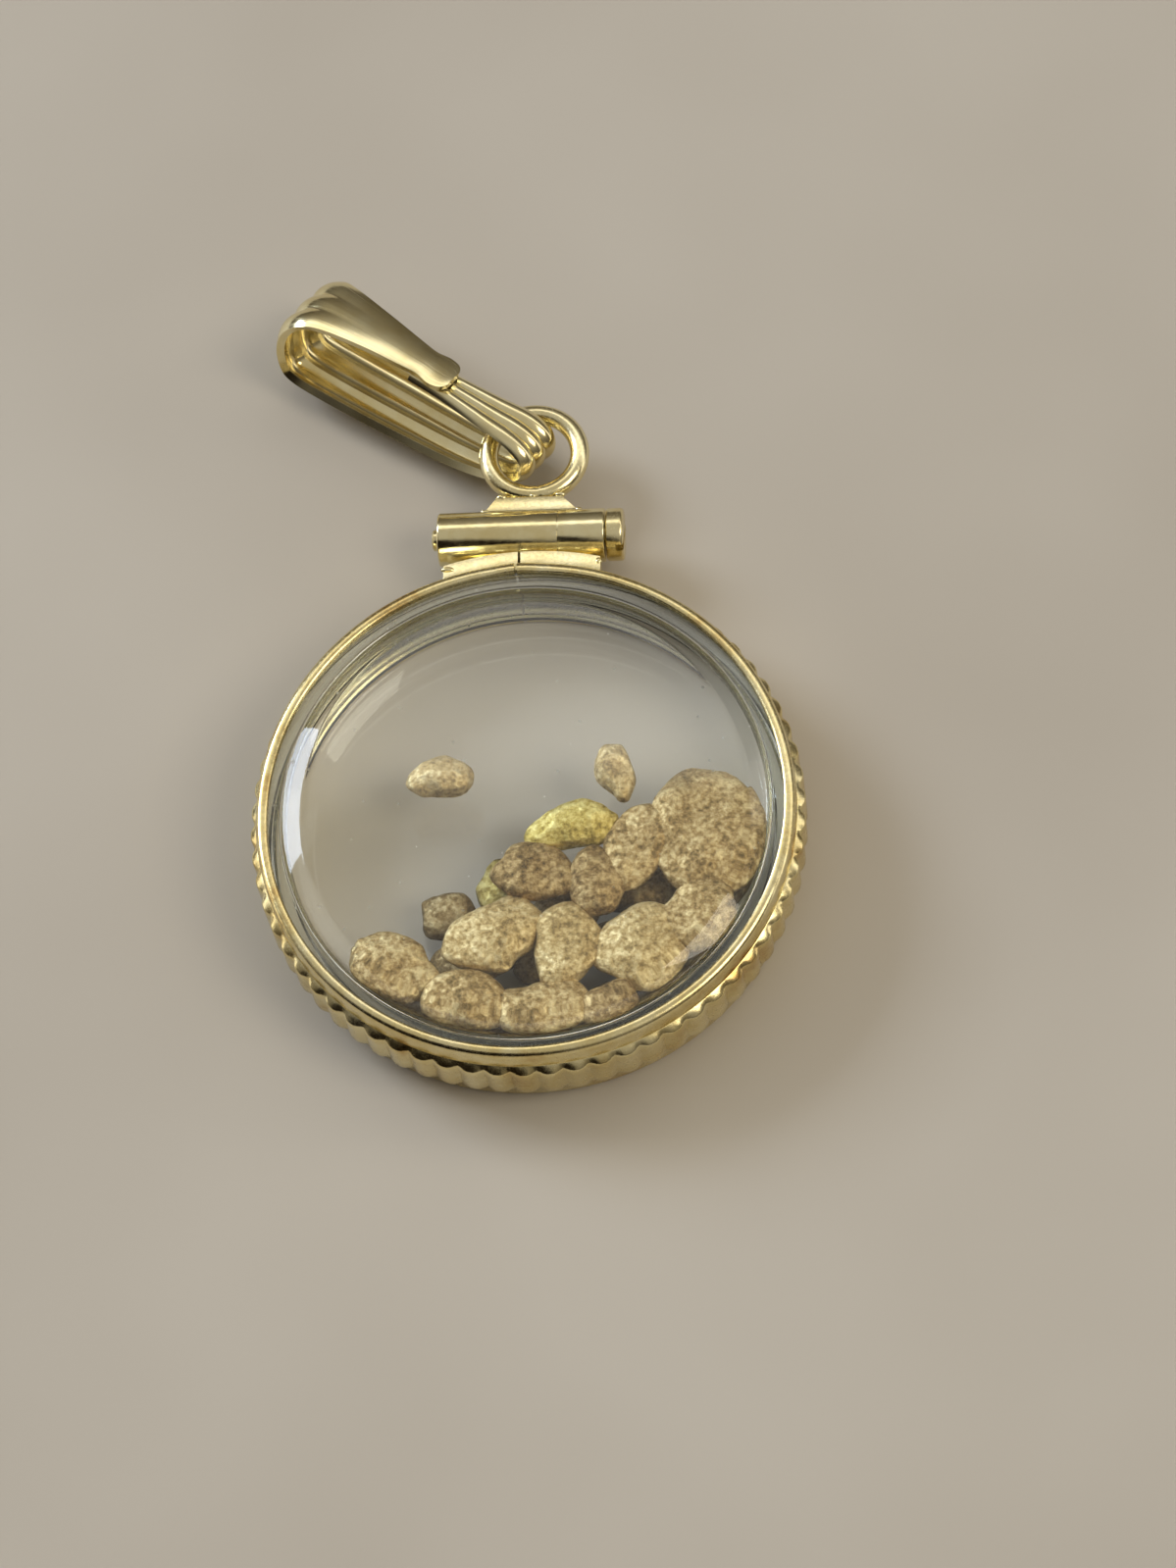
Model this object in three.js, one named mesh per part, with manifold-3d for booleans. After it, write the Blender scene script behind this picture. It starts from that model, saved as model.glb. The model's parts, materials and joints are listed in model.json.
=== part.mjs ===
// Screw-top bezel pendant that holds a clear capsule of loose gold flakes. Millimetres.
// The pendant lies on its back: +Z is the capsule's axis, out of the front window, +Y runs from the
// capsule to the barrel, the ring and the bail, and +X runs along the barrel to the screw's head.
// The origin is the centre of the back window, on the plane that the pendant lies on.
import * as THREE from "three";
import { mergeVertices } from "three/addons/utils/BufferGeometryUtils.js";
import Module from "manifold-3d";

const wasm = await Module();
wasm.setup();

// ---- driving dimensions ----
const thickness = 3.8; // over the two lips
const lipCrestRadius = 9.42;
const lipInnerRadius = 9.25;
const bandRadius = 9.68; // outside of the smooth band
const grooveRadius = 9.42; // inside of the channel
const lipDepth = 0.26;
const beltRadius = 10; // over the teeth
const toothDepth = 0.2;
const teeth = 66;
const beltWidth = 1.9;
const splitWidth = 0.1; // gap between the band's two ends
const splitX = -0.45;
const roundSegments = 72;

const rimClearance = 0.04; // crystals in the channel
const windowRadius = 8.0;
const windowThickness = 0.6;
const rimThickness = 0.3;
const wallInnerRadius = 8.85;
const seamGap = 0.02; // crystals to the capsule's wall

const barrelRadius = 1.0;
const barrelY = 11.65;
const boreRadius = 0.5;
const barrelLeft = -3.5;
const barrelSplit = 0.97;
const barrelRight = 2.7;
const barrelGap = 0.05; // between the two tubes, and from tube to screw head
const screwRadius = 0.45;
const screwHeadLength = 0.64;
const screwTipStand = 0.24;
const slotWidth = 0.26;
const slotDepth = 0.28;
const seatGap = 0.03; // soldered faces

const saddleHalf = 0.58; // half of the saddles' depth, front to back
const saddleRadius = 10.78; // their outer faces, round the capsule's axis
const saddleLeft = -3.25;
const saddleRight = 2.55;

const ringRadius = 1.71; // middle of the wire
const ringWireRadius = 0.36;
const ringY = 15.12;
const footHalf = 0.35; // half of the foot's depth, front to back
const footBase = [-1.9, 1.8]; // along the long tube
const footTop = [-1.35, 1.1];

const midZ = thickness / 2;

// ---- helpers ----
const finishes = {
  rolledGold: { color: 0xd8c687, roughness: 0.22, metalness: 1.0 },
  clearAcrylic: { color: 0xe4e8ea, roughness: 0.05, metalness: 0.0, transparent: true, opacity: 0.35 },
  placerGold: { color: 0xa98d58, roughness: 0.55, metalness: 1.0 },
};

const pendant = new THREE.Group();

function addPart(name, geometry, finish) {
  const mesh = new THREE.Mesh(geometry, new THREE.MeshStandardMaterial(finishes[finish]));
  mesh.name = name;
  pendant.add(mesh);
  return mesh;
}

function positionsOnly(geometry) {
  const bare = geometry.clone();
  for (const name of Object.keys(bare.attributes)) {
    if (name !== "position") bare.deleteAttribute(name);
  }
  return mergeVertices(bare, 1e-4);
}

function toSolid(geometry) {
  const merged = positionsOnly(geometry);
  const vertProperties = new Float32Array(merged.attributes.position.array);
  const triVerts = new Uint32Array(merged.index.array);
  return new wasm.Manifold(new wasm.Mesh({ numProp: 3, vertProperties, triVerts }));
}

function fromSolid(solid) {
  const mesh = solid.getMesh();
  const geometry = new THREE.BufferGeometry();
  geometry.setAttribute("position", new THREE.BufferAttribute(mesh.vertProperties, 3));
  geometry.setIndex(new THREE.BufferAttribute(mesh.triVerts, 1));
  return geometry;
}

// A body of revolution about +Z. The profile is [radius, z] pairs, counter-clockwise.
function turned(profile, segments = roundSegments) {
  const points = profile.map(([radius, z]) => new THREE.Vector2(radius, z));
  return new THREE.LatheGeometry(points, segments).rotateX(Math.PI / 2);
}

function box(low, high) {
  const size = high.map((value, i) => value - low[i]);
  const middle = high.map((value, i) => (value + low[i]) / 2);
  return new THREE.BoxGeometry(...size).translate(...middle);
}

// A solid cylinder between two places on the X axis, then moved to the barrel's axis.
function barrelRod(radius, from, to, segments = 40) {
  const rod = new THREE.CylinderGeometry(radius, radius, to - from, segments);
  return rod.rotateZ(-Math.PI / 2).translate((from + to) / 2, barrelY, midZ);
}

// ---- band: U channel with two lips, reeded belt, and the split at the top ----
function channelProfile() {
  const half = [
    [lipInnerRadius, lipDepth],
    [lipInnerRadius, 0.06],
    [lipCrestRadius, 0],
    [9.6, 0.07],
    [bandRadius, lipDepth],
  ];
  const front = half.map(([radius, z]) => [radius, thickness - z]).reverse();
  const groove = [[grooveRadius, thickness - lipDepth - 0.02], [grooveRadius, lipDepth + 0.02]];
  return [...half, ...front, ...groove, half[0]];
}

function beltRing() {
  const outline = new THREE.Shape();
  const step = (2 * Math.PI) / teeth;
  const valley = beltRadius - toothDepth;
  const corners = [[0, valley], [0.22, beltRadius - 0.04], [0.5, beltRadius], [0.78, beltRadius - 0.04]];
  for (let tooth = 0; tooth < teeth; tooth += 1) {
    for (const [share, radius] of corners) {
      const angle = (tooth + share) * step;
      const place = [radius * Math.cos(angle), radius * Math.sin(angle)];
      if (tooth === 0 && share === 0) outline.moveTo(...place);
      else outline.lineTo(...place);
    }
  }
  outline.closePath();
  const hole = new THREE.Path();
  hole.absarc(0, 0, (grooveRadius + bandRadius) / 2, 0, 2 * Math.PI, true);
  outline.holes.push(hole);
  const belt = new THREE.ExtrudeGeometry(outline, { depth: beltWidth, bevelEnabled: false, curveSegments: 48 });
  return belt.translate(0, 0, midZ - beltWidth / 2);
}

function makeBand() {
  const slot = box([splitX - splitWidth / 2, 8, -1], [splitX + splitWidth / 2, 11, thickness + 1]);
  const whole = toSolid(turned(channelProfile())).add(toSolid(beltRing()));
  addPart("bezel_band", fromSolid(whole.subtract(toSolid(slot))), "rolledGold");
}

// ---- capsule: two stepped crystals and the clear wall between them ----
function makeCapsule() {
  const rimRadius = grooveRadius - rimClearance;
  const rimFace = windowThickness - rimThickness;
  const back = [
    [0, 0],
    [windowRadius, 0],
    [windowRadius + 0.15, 0.04],
    [8.75, rimFace],
    [rimRadius, rimFace],
    [rimRadius, windowThickness],
    [0, windowThickness],
  ];
  const front = back.map(([radius, z]) => [radius, thickness - z]).reverse();
  addPart("back_crystal", turned(back), "clearAcrylic");
  addPart("front_crystal", turned(front), "clearAcrylic");
  const low = windowThickness + seamGap;
  const high = thickness - low;
  const wall = [
    [wallInnerRadius, low],
    [rimRadius, low],
    [rimRadius, high],
    [wallInnerRadius, high],
    [wallInnerRadius, low],
  ];
  addPart("capsule_wall", turned(wall), "clearAcrylic");
}

// ---- barrel: two tubes on their saddles, closed by the slotted screw ----
function makeTube(name, from, to) {
  const bored = toSolid(barrelRod(barrelRadius, from, to)).subtract(
    toSolid(barrelRod(boreRadius, from - 1, to + 1, 24)),
  );
  addPart(name, fromSolid(bored), "rolledGold");
}

// A saddle is an arc strip on the belt, hollowed where the barrel lies in it.
function makeSaddle(name, from, to) {
  const block = box([from, 9, midZ - saddleHalf], [to, barrelY, midZ + saddleHalf]);
  const rim = (radius) => {
    const disc = new THREE.CylinderGeometry(radius, radius, 6, 240);
    return toSolid(disc.rotateX(Math.PI / 2).translate(0, 0, midZ));
  };
  const strip = toSolid(block).intersect(rim(saddleRadius)).subtract(rim(beltRadius + seatGap));
  const cradle = barrelRod(barrelRadius + seatGap, from - 1, to + 1, 60);
  addPart(name, fromSolid(strip.subtract(toSolid(cradle))), "rolledGold");
}

function makeScrew() {
  const headStart = barrelRight + barrelGap;
  const headEnd = headStart + screwHeadLength;
  const shank = toSolid(barrelRod(screwRadius, barrelLeft - screwTipStand, headStart + 0.1, 24));
  const head = toSolid(barrelRod(barrelRadius - 0.02, headStart, headEnd));
  const slot = box(
    [headEnd - slotDepth, barrelY - 2, midZ - slotWidth / 2],
    [headEnd + 1, barrelY + 2, midZ + slotWidth / 2],
  );
  const tilt = THREE.MathUtils.degToRad(-32);
  slot.translate(0, -barrelY, -midZ).rotateX(tilt).translate(0, barrelY, midZ);
  addPart("clamp_screw", fromSolid(shank.add(head).subtract(toSolid(slot))), "rolledGold");
}

// ---- fixed ring and its foot on the long tube ----
function makeRing() {
  const torus = new THREE.TorusGeometry(ringRadius, ringWireRadius, 12, 40);
  addPart("loop_ring", torus.translate(0, ringY, midZ), "rolledGold");
  const baseY = barrelY + barrelRadius - 0.2;
  const topY = ringY - ringRadius - ringWireRadius + 0.12;
  const outline = new THREE.Shape([
    new THREE.Vector2(footBase[0], baseY),
    new THREE.Vector2(footBase[1], baseY),
    new THREE.Vector2(footTop[1], topY),
    new THREE.Vector2(footTop[0], topY),
  ]);
  const block = new THREE.ExtrudeGeometry(outline, { depth: 2 * footHalf, bevelEnabled: false });
  block.translate(0, 0, midZ - footHalf);
  const cradle = barrelRod(barrelRadius + seatGap, -3, 3, 60);
  const seat = new THREE.TorusGeometry(ringRadius, ringWireRadius + 0.04, 20, 72);
  seat.translate(0, ringY, midZ);
  const foot = toSolid(block).subtract(toSolid(cradle)).subtract(toSolid(seat));
  addPart("loop_foot", fromSolid(foot), "rolledGold");
}

// ---- bail: one fluted strip, bent to a teardrop loop through the ring ----
const bail = {
  lean: 56.2, // degrees from +Y towards -X
  roll: 17, // about its own length, on to the far edge of its back leg
  rise: 0.08, // its line above the ring's middle
  sheet: 0.3,
  ribs: 3,
  ribHeight: 0.09,
  steps: 56,
};

// Places along the strip: how far out, how far in front, its width, its flutes and its crown.
const bailRoute = [
  { out: 3.7, front: 1.0, width: 1.05, flute: 1, crown: 0 },
  { out: 2.4, front: 0.98, width: 1.15, flute: 1, crown: 0 },
  { out: 0.6, front: 0.9, width: 1.5, flute: 1, crown: 0 },
  { out: -0.8, front: 0.84, width: 1.85, flute: 1, crown: 0 },
  { out: -1.62, front: 0.52, width: 2.0, flute: 1, crown: 0 },
  { out: -1.9, front: 0, width: 2.0, flute: 1, crown: 0 },
  { out: -1.66, front: -0.58, width: 2.0, flute: 1, crown: 0 },
  { out: -0.9, front: -1.12, width: 2.15, flute: 1, crown: 0.03 },
  { out: 1.0, front: -1.42, width: 2.6, flute: 1, crown: 0.06 },
  { out: 4.0, front: -1.5, width: 2.95, flute: 1, crown: 0.1 },
  { out: 7.0, front: -1.52, width: 3.1, flute: 1, crown: 0.12 },
  { out: 8.4, front: -1.4, width: 3.1, flute: 1, crown: 0.12 },
  { out: 9.1, front: -0.9, width: 3.15, flute: 1, crown: 0.12 },
  { out: 9.35, front: 0, width: 3.15, flute: 1, crown: 0.15 },
  { out: 9.15, front: 0.95, width: 3.1, flute: 1, crown: 0.2 },
  { out: 8.5, front: 1.6, width: 2.9, flute: 0.7, crown: 0.26 },
  { out: 7.5, front: 1.84, width: 2.5, flute: 0.15, crown: 0.32 },
  { out: 5.6, front: 1.8, width: 1.9, flute: 0, crown: 0.28 },
  { out: 4.0, front: 1.64, width: 1.45, flute: 0, crown: 0.18 },
  { out: 3.3, front: 1.58, width: 1.3, flute: 0, crown: 0.14 },
  { out: 2.75, front: 1.52, width: 1.5, flute: 0, crown: 0.12 },
  { out: 2.3, front: 1.48, width: 1.3, flute: 0, crown: 0.08 },
  { out: 2.1, front: 1.46, width: 0.7, flute: 0, crown: 0.03 },
];

// A value of the route at a share of its length, on a smooth curve through the given places.
function alongRoute(key, share) {
  const last = bailRoute.length - 1;
  const at = Math.min(share * last, last - 1e-9);
  const i = Math.floor(at);
  const value = (j) => bailRoute[Math.min(Math.max(j, 0), last)][key];
  const [a, b, c, d] = [value(i - 1), value(i), value(i + 1), value(i + 2)];
  const t = at - i;
  const slope = [(c - a) / 2, (d - b) / 2];
  const cubic = 2 * (b - c) + slope[0] + slope[1];
  const square = 3 * (c - b) - 2 * slope[0] - slope[1];
  return ((cubic * t + square) * t + slope[0]) * t + b;
}

// One cross-section: the outer face from edge to edge, then the inner face back.
function stripSection(share) {
  const step = 1e-4;
  const dOut = alongRoute("out", share + step) - alongRoute("out", share - step);
  const dFront = alongRoute("front", share + step) - alongRoute("front", share - step);
  const length = Math.hypot(dOut, dFront);
  const normal = [dFront / length, -dOut / length];
  const width = alongRoute("width", share);
  const flute = alongRoute("flute", share);
  const crown = alongRoute("crown", share);
  const across = bail.ribs * 3;
  const faces = [[], []];
  for (let k = 0; k <= across; k += 1) {
    const place = k / across;
    const ridge = -Math.cos(2 * Math.PI * bail.ribs * place) * bail.ribHeight * flute;
    const arch = -crown * (2 * place - 1) ** 2;
    faces.forEach((face, side) => {
      const lift = ridge + arch + (side === 0 ? 0.5 : -0.5) * bail.sheet;
      face.push([
        alongRoute("out", share) + normal[0] * lift,
        alongRoute("front", share) + normal[1] * lift,
        (place - 0.5) * width,
      ]);
    });
  }
  return [...faces[0], ...faces[1].reverse()];
}

// A closed skin over a row of equal sections, with a flat fan on each end.
function lofted(sections) {
  const count = sections[0].length;
  const points = sections.flat();
  const triangles = [];
  for (let i = 0; i < sections.length - 1; i += 1) {
    for (let k = 0; k < count; k += 1) {
      const next = (k + 1) % count;
      const [a, b] = [i * count + k, i * count + next];
      triangles.push(a, a + count, b, b, a + count, b + count);
    }
  }
  const half = count / 2;
  const tail = (sections.length - 1) * count;
  for (let k = 0; k < half - 1; k += 1) {
    const [a, b, c, d] = [k, k + 1, count - 2 - k, count - 1 - k];
    triangles.push(a, b, c, a, c, d);
    triangles.push(tail + a, tail + c, tail + b, tail + a, tail + d, tail + c);
  }
  const geometry = new THREE.BufferGeometry();
  geometry.setAttribute("position", new THREE.Float32BufferAttribute(points.flat(), 3));
  geometry.setIndex(triangles);
  return geometry;
}

function makeBail() {
  const sections = [];
  for (let i = 0; i <= bail.steps; i += 1) {
    sections.push(stripSection(i / bail.steps));
  }
  const strip = lofted(sections);
  const lean = THREE.MathUtils.degToRad(bail.lean);
  const out = new THREE.Vector3(-Math.sin(lean), Math.cos(lean), 0);
  const across = new THREE.Vector3(Math.cos(lean), Math.sin(lean), 0);
  const up = new THREE.Vector3(0, 0, 1);
  // the strip's own axes: out from the ring, up in front, and across
  const place = new THREE.Matrix4().makeBasis(out, up, across);
  const turn = new THREE.Matrix4().makeRotationX(THREE.MathUtils.degToRad(bail.roll));
  strip.applyMatrix4(place.multiply(turn));
  const wire = out.clone().multiplyScalar(ringRadius).add(new THREE.Vector3(0, ringY, midZ + bail.rise));
  strip.translate(wire.x, wire.y, wire.z);
  addPart("bail_strip", strip, "rolledGold");
}

// ---- flakes: flat lumps of placer gold, in two layers, and two that lie apart ----
const pile = { top: [1, -0.9], spread: 1.09 }; // the pile is spread downwards from its top
const lowerLayer = { z: 1.2, height: 1.08 };
const upperLayer = { z: 2.48, height: 1.2 };
const lowerFlakes = [
  { at: [-1.9, -4.9], size: [2.5, 1.3], turn: 15 },
  { at: [-4.3, -5.9], size: [2.5, 1.7], turn: -35 },
  { at: [-2.1, -6.9], size: [2.6, 1.4], turn: -12 },
  { at: [0.3, -7.2], size: [2.0, 1.3], turn: 5 },
  { at: [2.5, -6.8], size: [1.8, 1.5], turn: 20 },
  { at: [5.9, -4.2], size: [1.8, 1.9], turn: 30 },
  { at: [-0.9, -2.2], size: [1.2, 1.7], turn: -10 },
  { at: [3.9, -2.4], size: [2.8, 1.2], turn: 10 },
  { at: [1.3, -3.1], size: [1.7, 1.3], turn: 0 },
  { at: [0.5, -4.9], size: [1.4, 1.5], turn: 20 },
  { at: [-2.6, -3.1], size: [1.4, 1.3], turn: 0 },
  { at: [4.5, -5.9], size: [1.9, 1.4], turn: 35 },
  { at: [6.3, -1.2], size: [2.2, 2.4], turn: 0 },
  { at: [3.2, -4.3], size: [2.2, 1.4], turn: 5 },
];
const upperFlakes = [
  { at: [6.15, -0.9], size: [3.1, 3.4], turn: 10 },
  { at: [3.75, -1.3], size: [1.7, 2.5], turn: -28 },
  { at: [2.35, -2.5], size: [1.4, 1.9], turn: 0 },
  { at: [0.4, -2.1], size: [2.2, 1.6], turn: 0 },
  { at: [-1.0, -4.3], size: [2.7, 1.9], turn: 20 },
  { at: [1.5, -4.8], size: [1.8, 2.3], turn: 0 },
  { at: [6.0, -3.85], size: [2.0, 1.9], turn: 10 },
  { at: [0.7, -6.8], size: [2.5, 1.4], turn: 4 },
  { at: [1.5, -0.45], size: [2.4, 1.2], turn: 12 },
  { at: [3.85, -4.8], size: [2.3, 2.2], turn: 20 },
  { at: [-4.2, -5.3], size: [2.4, 1.7], turn: -20 },
  { at: [-1.8, -6.5], size: [2.2, 1.4], turn: -8 },
  { at: [2.9, -6.9], size: [1.5, 1.2], turn: 25 },
];
const looseFlakes = [
  { name: "loose_flake_a", at: [-3.15, 1.6], size: [2.6, 1.5], turn: 6 },
  { name: "loose_flake_b", at: [3.17, 1.56], size: [1.5, 2.3], turn: 28 },
];

// A rounded slab whose outline and faces are pushed in and out by slow waves, different for each seed.
function lump(size, height, seed) {
  const slab = positionsOnly(new THREE.IcosahedronGeometry(1, 1));
  const place = slab.attributes.position;
  for (let i = 0; i < place.count; i += 1) {
    const [x, y, z] = [place.getX(i), place.getY(i), place.getZ(i)];
    const angle = Math.atan2(y, x);
    const wave = 0.07 * Math.sin(3 * angle + seed * 2.3) + 0.05 * Math.sin(5 * angle + seed * 4.1);
    const flat = Math.sign(z) * Math.abs(z) ** 0.7;
    const dent = 0.9 + 0.1 * Math.sin(2.6 * x + seed) * Math.cos(2.2 * y + seed * 1.7);
    const square = 1 + 0.1 * (1 - Math.abs(z));
    const reach = (square * (1 + wave)) / 1.22;
    place.setXYZ(i, x * size[0] * 0.5 * reach, y * size[1] * 0.5 * reach, flat * height * 0.5 * dent);
  }
  return slab;
}

function makeFlake(name, flake, layer, seed) {
  const mesh = addPart(name, lump(flake.size, layer.height, seed), "placerGold");
  mesh.position.set(flake.at[0], flake.at[1], layer.z);
  mesh.rotation.z = THREE.MathUtils.degToRad(flake.turn);
}

function makeFlakes() {
  const piled = [...lowerFlakes, ...upperFlakes];
  piled.forEach((flake, i) => {
    const layer = i < lowerFlakes.length ? lowerLayer : upperLayer;
    const at = flake.at.map((value, k) => pile.top[k] + (value - pile.top[k]) * pile.spread);
    const size = flake.size.map((length) => length * pile.spread);
    makeFlake(`flake_${String(i + 1).padStart(2, "0")}`, { at, size, turn: flake.turn }, layer, i + 1);
  });
  looseFlakes.forEach((flake, i) => makeFlake(flake.name, flake, upperLayer, 40 + i));
}

makeBand();
makeCapsule();
makeSaddle("saddle_left", saddleLeft, splitX - splitWidth / 2);
makeSaddle("saddle_right", splitX + splitWidth / 2, saddleRight);
makeTube("barrel_tube_left", barrelLeft, barrelSplit - barrelGap / 2);
makeTube("barrel_tube_right", barrelSplit + barrelGap / 2, barrelRight);
makeScrew();
makeRing();
makeBail();
makeFlakes();

export default pendant;
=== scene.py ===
# Screw-top bezel pendant with a clear capsule of placer gold flakes, lying on a pale table top.
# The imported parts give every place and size. Pieces are modelled in millimetres, then brought to metres.
import json
import math
import random

import bmesh
import bpy
from mathutils import Matrix, Vector


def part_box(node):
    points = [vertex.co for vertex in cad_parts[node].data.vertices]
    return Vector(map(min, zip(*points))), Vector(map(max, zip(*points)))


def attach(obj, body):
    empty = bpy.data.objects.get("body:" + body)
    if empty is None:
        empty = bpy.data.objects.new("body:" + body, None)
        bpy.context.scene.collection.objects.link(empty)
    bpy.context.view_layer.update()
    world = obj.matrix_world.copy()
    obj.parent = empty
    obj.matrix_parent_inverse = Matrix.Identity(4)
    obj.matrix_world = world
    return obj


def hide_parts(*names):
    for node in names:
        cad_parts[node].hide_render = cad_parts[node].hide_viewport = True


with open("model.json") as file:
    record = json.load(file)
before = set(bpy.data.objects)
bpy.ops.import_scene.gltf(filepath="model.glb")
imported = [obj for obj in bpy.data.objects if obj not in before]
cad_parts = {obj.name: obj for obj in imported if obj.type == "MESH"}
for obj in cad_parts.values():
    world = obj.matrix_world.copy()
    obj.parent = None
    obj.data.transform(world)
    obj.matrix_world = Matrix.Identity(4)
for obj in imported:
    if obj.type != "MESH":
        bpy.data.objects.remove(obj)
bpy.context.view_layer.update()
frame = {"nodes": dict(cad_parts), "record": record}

millimetre = 0.001
scene = bpy.context.scene


# Small helpers for nodes and modelling.
def linearColour(hexText, alpha=1.0):
    channels = [int(hexText[i:i + 2], 16) / 255 for i in (0, 2, 4)]
    return [c / 12.92 if c <= 0.04045 else ((c + 0.055) / 1.055) ** 2.4 for c in channels] + [alpha]


def addNode(tree, kind, settings=None, links=None):
    node = tree.nodes.new(kind)
    for key, value in (settings or {}).items():
        if key == "stops":
            ramp = node.color_ramp
            while len(ramp.elements) < len(value):
                ramp.elements.new(0.5)
            for element, (position, colour) in zip(ramp.elements, value):
                element.position, element.color = position, linearColour(colour)
        elif isinstance(key, int) or key in node.inputs:
            node.inputs[key].default_value = value
        else:
            setattr(node, key, value)
    for key, source in (links or {}).items():
        tree.links.new(source, node.inputs[key])
    return node


def startMaterial(name):
    material = bpy.data.materials.new(name)
    material.use_nodes = True
    tree = material.node_tree
    tree.nodes.clear()
    return material, tree


def deselectAll():
    if bpy.context.object and bpy.context.object.mode != "OBJECT":
        bpy.ops.object.mode_set(mode="OBJECT")
    bpy.ops.object.select_all(action="DESELECT")


def pick(piece):
    deselectAll()
    piece.select_set(True)
    bpy.context.view_layer.objects.active = piece


def editStart(piece):
    pick(piece)
    bpy.ops.object.mode_set(mode="EDIT")
    bpy.ops.mesh.select_mode(type="VERT")
    bpy.ops.mesh.select_all(action="SELECT")


def editEnd():
    bpy.ops.object.mode_set(mode="OBJECT")


# Selects the vertices whose place passes the test, in edit mode.
def selectWhere(piece, test):
    bpy.ops.mesh.select_all(action="DESELECT")
    bm = bmesh.from_edit_mesh(piece.data)
    for vert in bm.verts:
        vert.select_set(bool(test(vert.co)))
    bm.select_flush_mode()
    bmesh.update_edit_mesh(piece.data)


def applyModifier(piece, kind, **settings):
    pick(piece)
    modifier = piece.modifiers.new(kind.title(), kind)
    for key, value in settings.items():
        setattr(modifier, key, value)
    bpy.ops.object.modifier_apply(modifier=modifier.name)


def applyPlace(piece):
    pick(piece)
    bpy.ops.object.transform_apply(location=True, rotation=True, scale=True)


# An outline drawn point by point, each point extruded from the last.
def drawOutline(name, points, closed=True):
    deselectAll()
    bpy.ops.mesh.primitive_plane_add(size=0.1, location=(0, 0, 0))
    piece = bpy.context.object
    piece.name = name
    editStart(piece)
    bpy.ops.mesh.merge(type="CENTER")
    bpy.ops.transform.translate(value=points[0])
    for before, after in zip(points, points[1:]):
        step = [b - a for a, b in zip(before, after)]
        bpy.ops.mesh.extrude_region_move(TRANSFORM_OT_translate={"value": step})
    if closed:
        first, last = Vector(points[0]), Vector(points[-1])
        selectWhere(piece, lambda co: min((co - first).length, (co - last).length) < 1e-5)
        bpy.ops.mesh.edge_face_add()
    return piece


# Turns a drawn outline round an axis into a closed body.
def spinOutline(piece, axis, centre, steps, angle=2 * math.pi):
    bpy.ops.mesh.select_all(action="SELECT")
    bpy.ops.mesh.spin(steps=steps, angle=angle, center=centre, axis=axis)
    bpy.ops.mesh.select_all(action="SELECT")
    bpy.ops.mesh.remove_doubles(threshold=1e-4)
    bpy.ops.mesh.normals_make_consistent(inside=False)


# Brings a piece to metres, smooths it and ties it to its body and CAD nodes.
def finishPiece(piece, material, body, nodes=(), sharpAngle=38):
    pick(piece)
    piece.scale = (millimetre,) * 3
    applyPlace(piece)
    if sharpAngle:
        bpy.ops.object.shade_smooth_by_angle(angle=math.radians(sharpAngle))
    else:
        bpy.ops.object.shade_smooth()
    piece.data.materials.clear()
    piece.data.materials.append(material)
    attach(piece, body)
    if nodes:
        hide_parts(*nodes)
    return piece


# A CAD node's box in millimetres.
def boxMm(node):
    low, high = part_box(node)
    return low / millimetre, high / millimetre


print("frame loaded")

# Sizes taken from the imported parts.
bandLow, bandHigh = boxMm("bezel_band")
ringLow, ringHigh = boxMm("loop_ring")
tubeLeftLow, tubeLeftHigh = boxMm("barrel_tube_left")
tubeRightLow, tubeRightHigh = boxMm("barrel_tube_right")
screwLow, screwHigh = boxMm("clamp_screw")
footLow, footHigh = boxMm("loop_foot")
thickness = bandHigh.z
midZ = thickness / 2
beltRadius = -bandLow.y
barrelY = (tubeLeftLow.y + tubeLeftHigh.y) / 2
barrelRadius = (tubeLeftHigh.y - tubeLeftLow.y) / 2
ringY = (ringLow.y + ringHigh.y) / 2
ringWire = (ringHigh.z - ringLow.z) / 2
ringRadius = (ringHigh.x - ringLow.x) / 2 - ringWire

# Camera.
cameraSetup = {"azimuth": 13.06, "elevation": 65.0, "roll": 13.55, "distance": 163.3, "lens": 105.25,
               "aimRight": 2.28, "aimUp": 0.67}


def addCamera():
    azimuth, elevation, roll = (math.radians(cameraSetup[k]) for k in ("azimuth", "elevation", "roll"))
    back = Vector((math.sin(azimuth) * math.cos(elevation), -math.cos(azimuth) * math.cos(elevation),
                   math.sin(elevation)))
    level = Vector((math.cos(azimuth), math.sin(azimuth), 0))
    rise = back.cross(level)
    up = rise * math.cos(roll) + level * math.sin(roll)
    right = level * math.cos(roll) - rise * math.sin(roll)
    middle = Vector((0, 0, thickness))
    place = middle + back * cameraSetup["distance"]
    aim = middle + right * cameraSetup["aimRight"] + up * cameraSetup["aimUp"]
    away = (place - aim).normalized()
    side = up.cross(away).normalized()
    turn = Matrix((side, away.cross(side), away)).transposed()
    data = bpy.data.cameras.new("camera")
    data.lens = cameraSetup["lens"]
    data.clip_start, data.clip_end = 0.005, 20
    camera = bpy.data.objects.new("camera", data)
    camera.location = place * millimetre
    camera.rotation_mode = "QUATERNION"
    camera.rotation_quaternion = turn.to_quaternion()
    scene.collection.objects.link(camera)
    scene.camera = camera


addCamera()
print("camera placed")

# Table top, room and lights.
tableTop = {"size": 4.0, "light": "C9C1B4", "dark": "BDB4A6", "patchSize": 0.035, "grainSize": 0.0016}


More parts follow.
